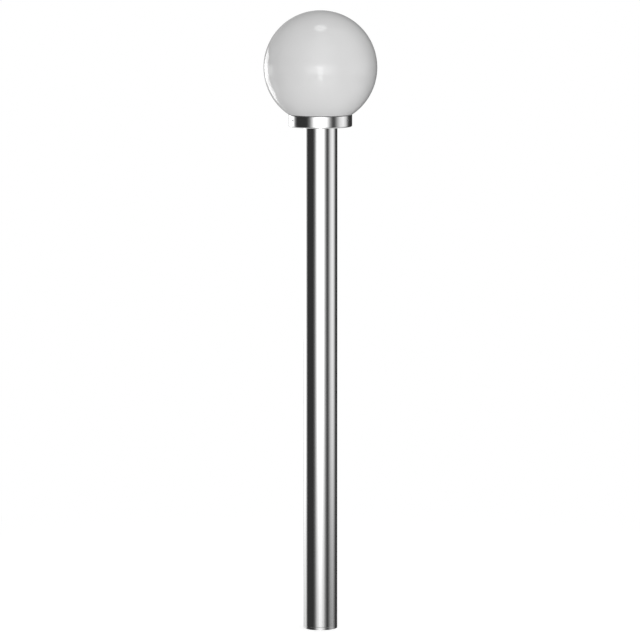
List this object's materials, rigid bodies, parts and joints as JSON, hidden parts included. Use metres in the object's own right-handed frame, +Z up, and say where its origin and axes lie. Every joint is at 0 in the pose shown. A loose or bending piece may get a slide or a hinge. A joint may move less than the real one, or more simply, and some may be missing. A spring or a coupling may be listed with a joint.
{
  "type": "garden lamp post",
  "caption": "Straight round stainless post with a short spun collar and an opal globe over a screw-base lampholder, made to be fixed to the ground.",
  "frame": {"origin": "middle of the foot's underside, on the ground, on the post's axis", "axes": "+Z up along the post's axis, -Y towards the viewer, +X to the viewer's right"},
  "size_m": [0.2, 0.2, 1.0999],
  "materials": {
    "polished_steel": "polished stainless steel",
    "cast_foot": "turned stainless steel",
    "cast_alloy": "as cast",
    "zinc_steel": "zinc plated",
    "opal": "glossy opal acrylic",
    "black_rubber": "matt black rubber",
    "brass": "bright brass",
    "white_plastic": "moulded white plastic",
    "ceramic": "glazed ceramic",
    "bulb_glass": "frosted glass bulb with a metal cap",
    "terminal_plastic": "natural moulded plastic",
    "brown_wire": "brown wire insulation",
    "blue_wire": "blue wire insulation",
    "green_yellow_wire": "green and yellow wire insulation"
  },
  "bodies": {
    "root": {"foot": "cast_foot", "foot_grommet": "black_rubber", "foot_screws": "zinc_steel", "pole_tube": "polished_steel", "head_plug": "cast_alloy", "collar": "polished_steel", "head_grommet": "black_rubber", "collar_screws": "zinc_steel", "globe_gasket": "black_rubber", "globe_screws": "zinc_steel", "globe": "opal", "strap": "zinc_steel", "nipple": "brass", "lock_washer": "zinc_steel", "nipple_nut": "zinc_steel", "holder_cap": "white_plastic", "holder_shell": "white_plastic", "contact_block": "ceramic", "screw_shell": "brass", "centre_contact": "brass", "side_contact": "brass", "contact_screws": "zinc_steel", "bulb": "bulb_glass", "terminal_block": "terminal_plastic", "terminal_tubes": "brass", "terminal_screws": "zinc_steel", "block_screws": "zinc_steel", "block_nuts": "zinc_steel", "earth_lug": "zinc_steel", "earth_screw": "zinc_steel", "live_wire": "brown_wire", "neutral_wire": "blue_wire", "earth_wire": "green_yellow_wire"}
  },
  "joints": []
}
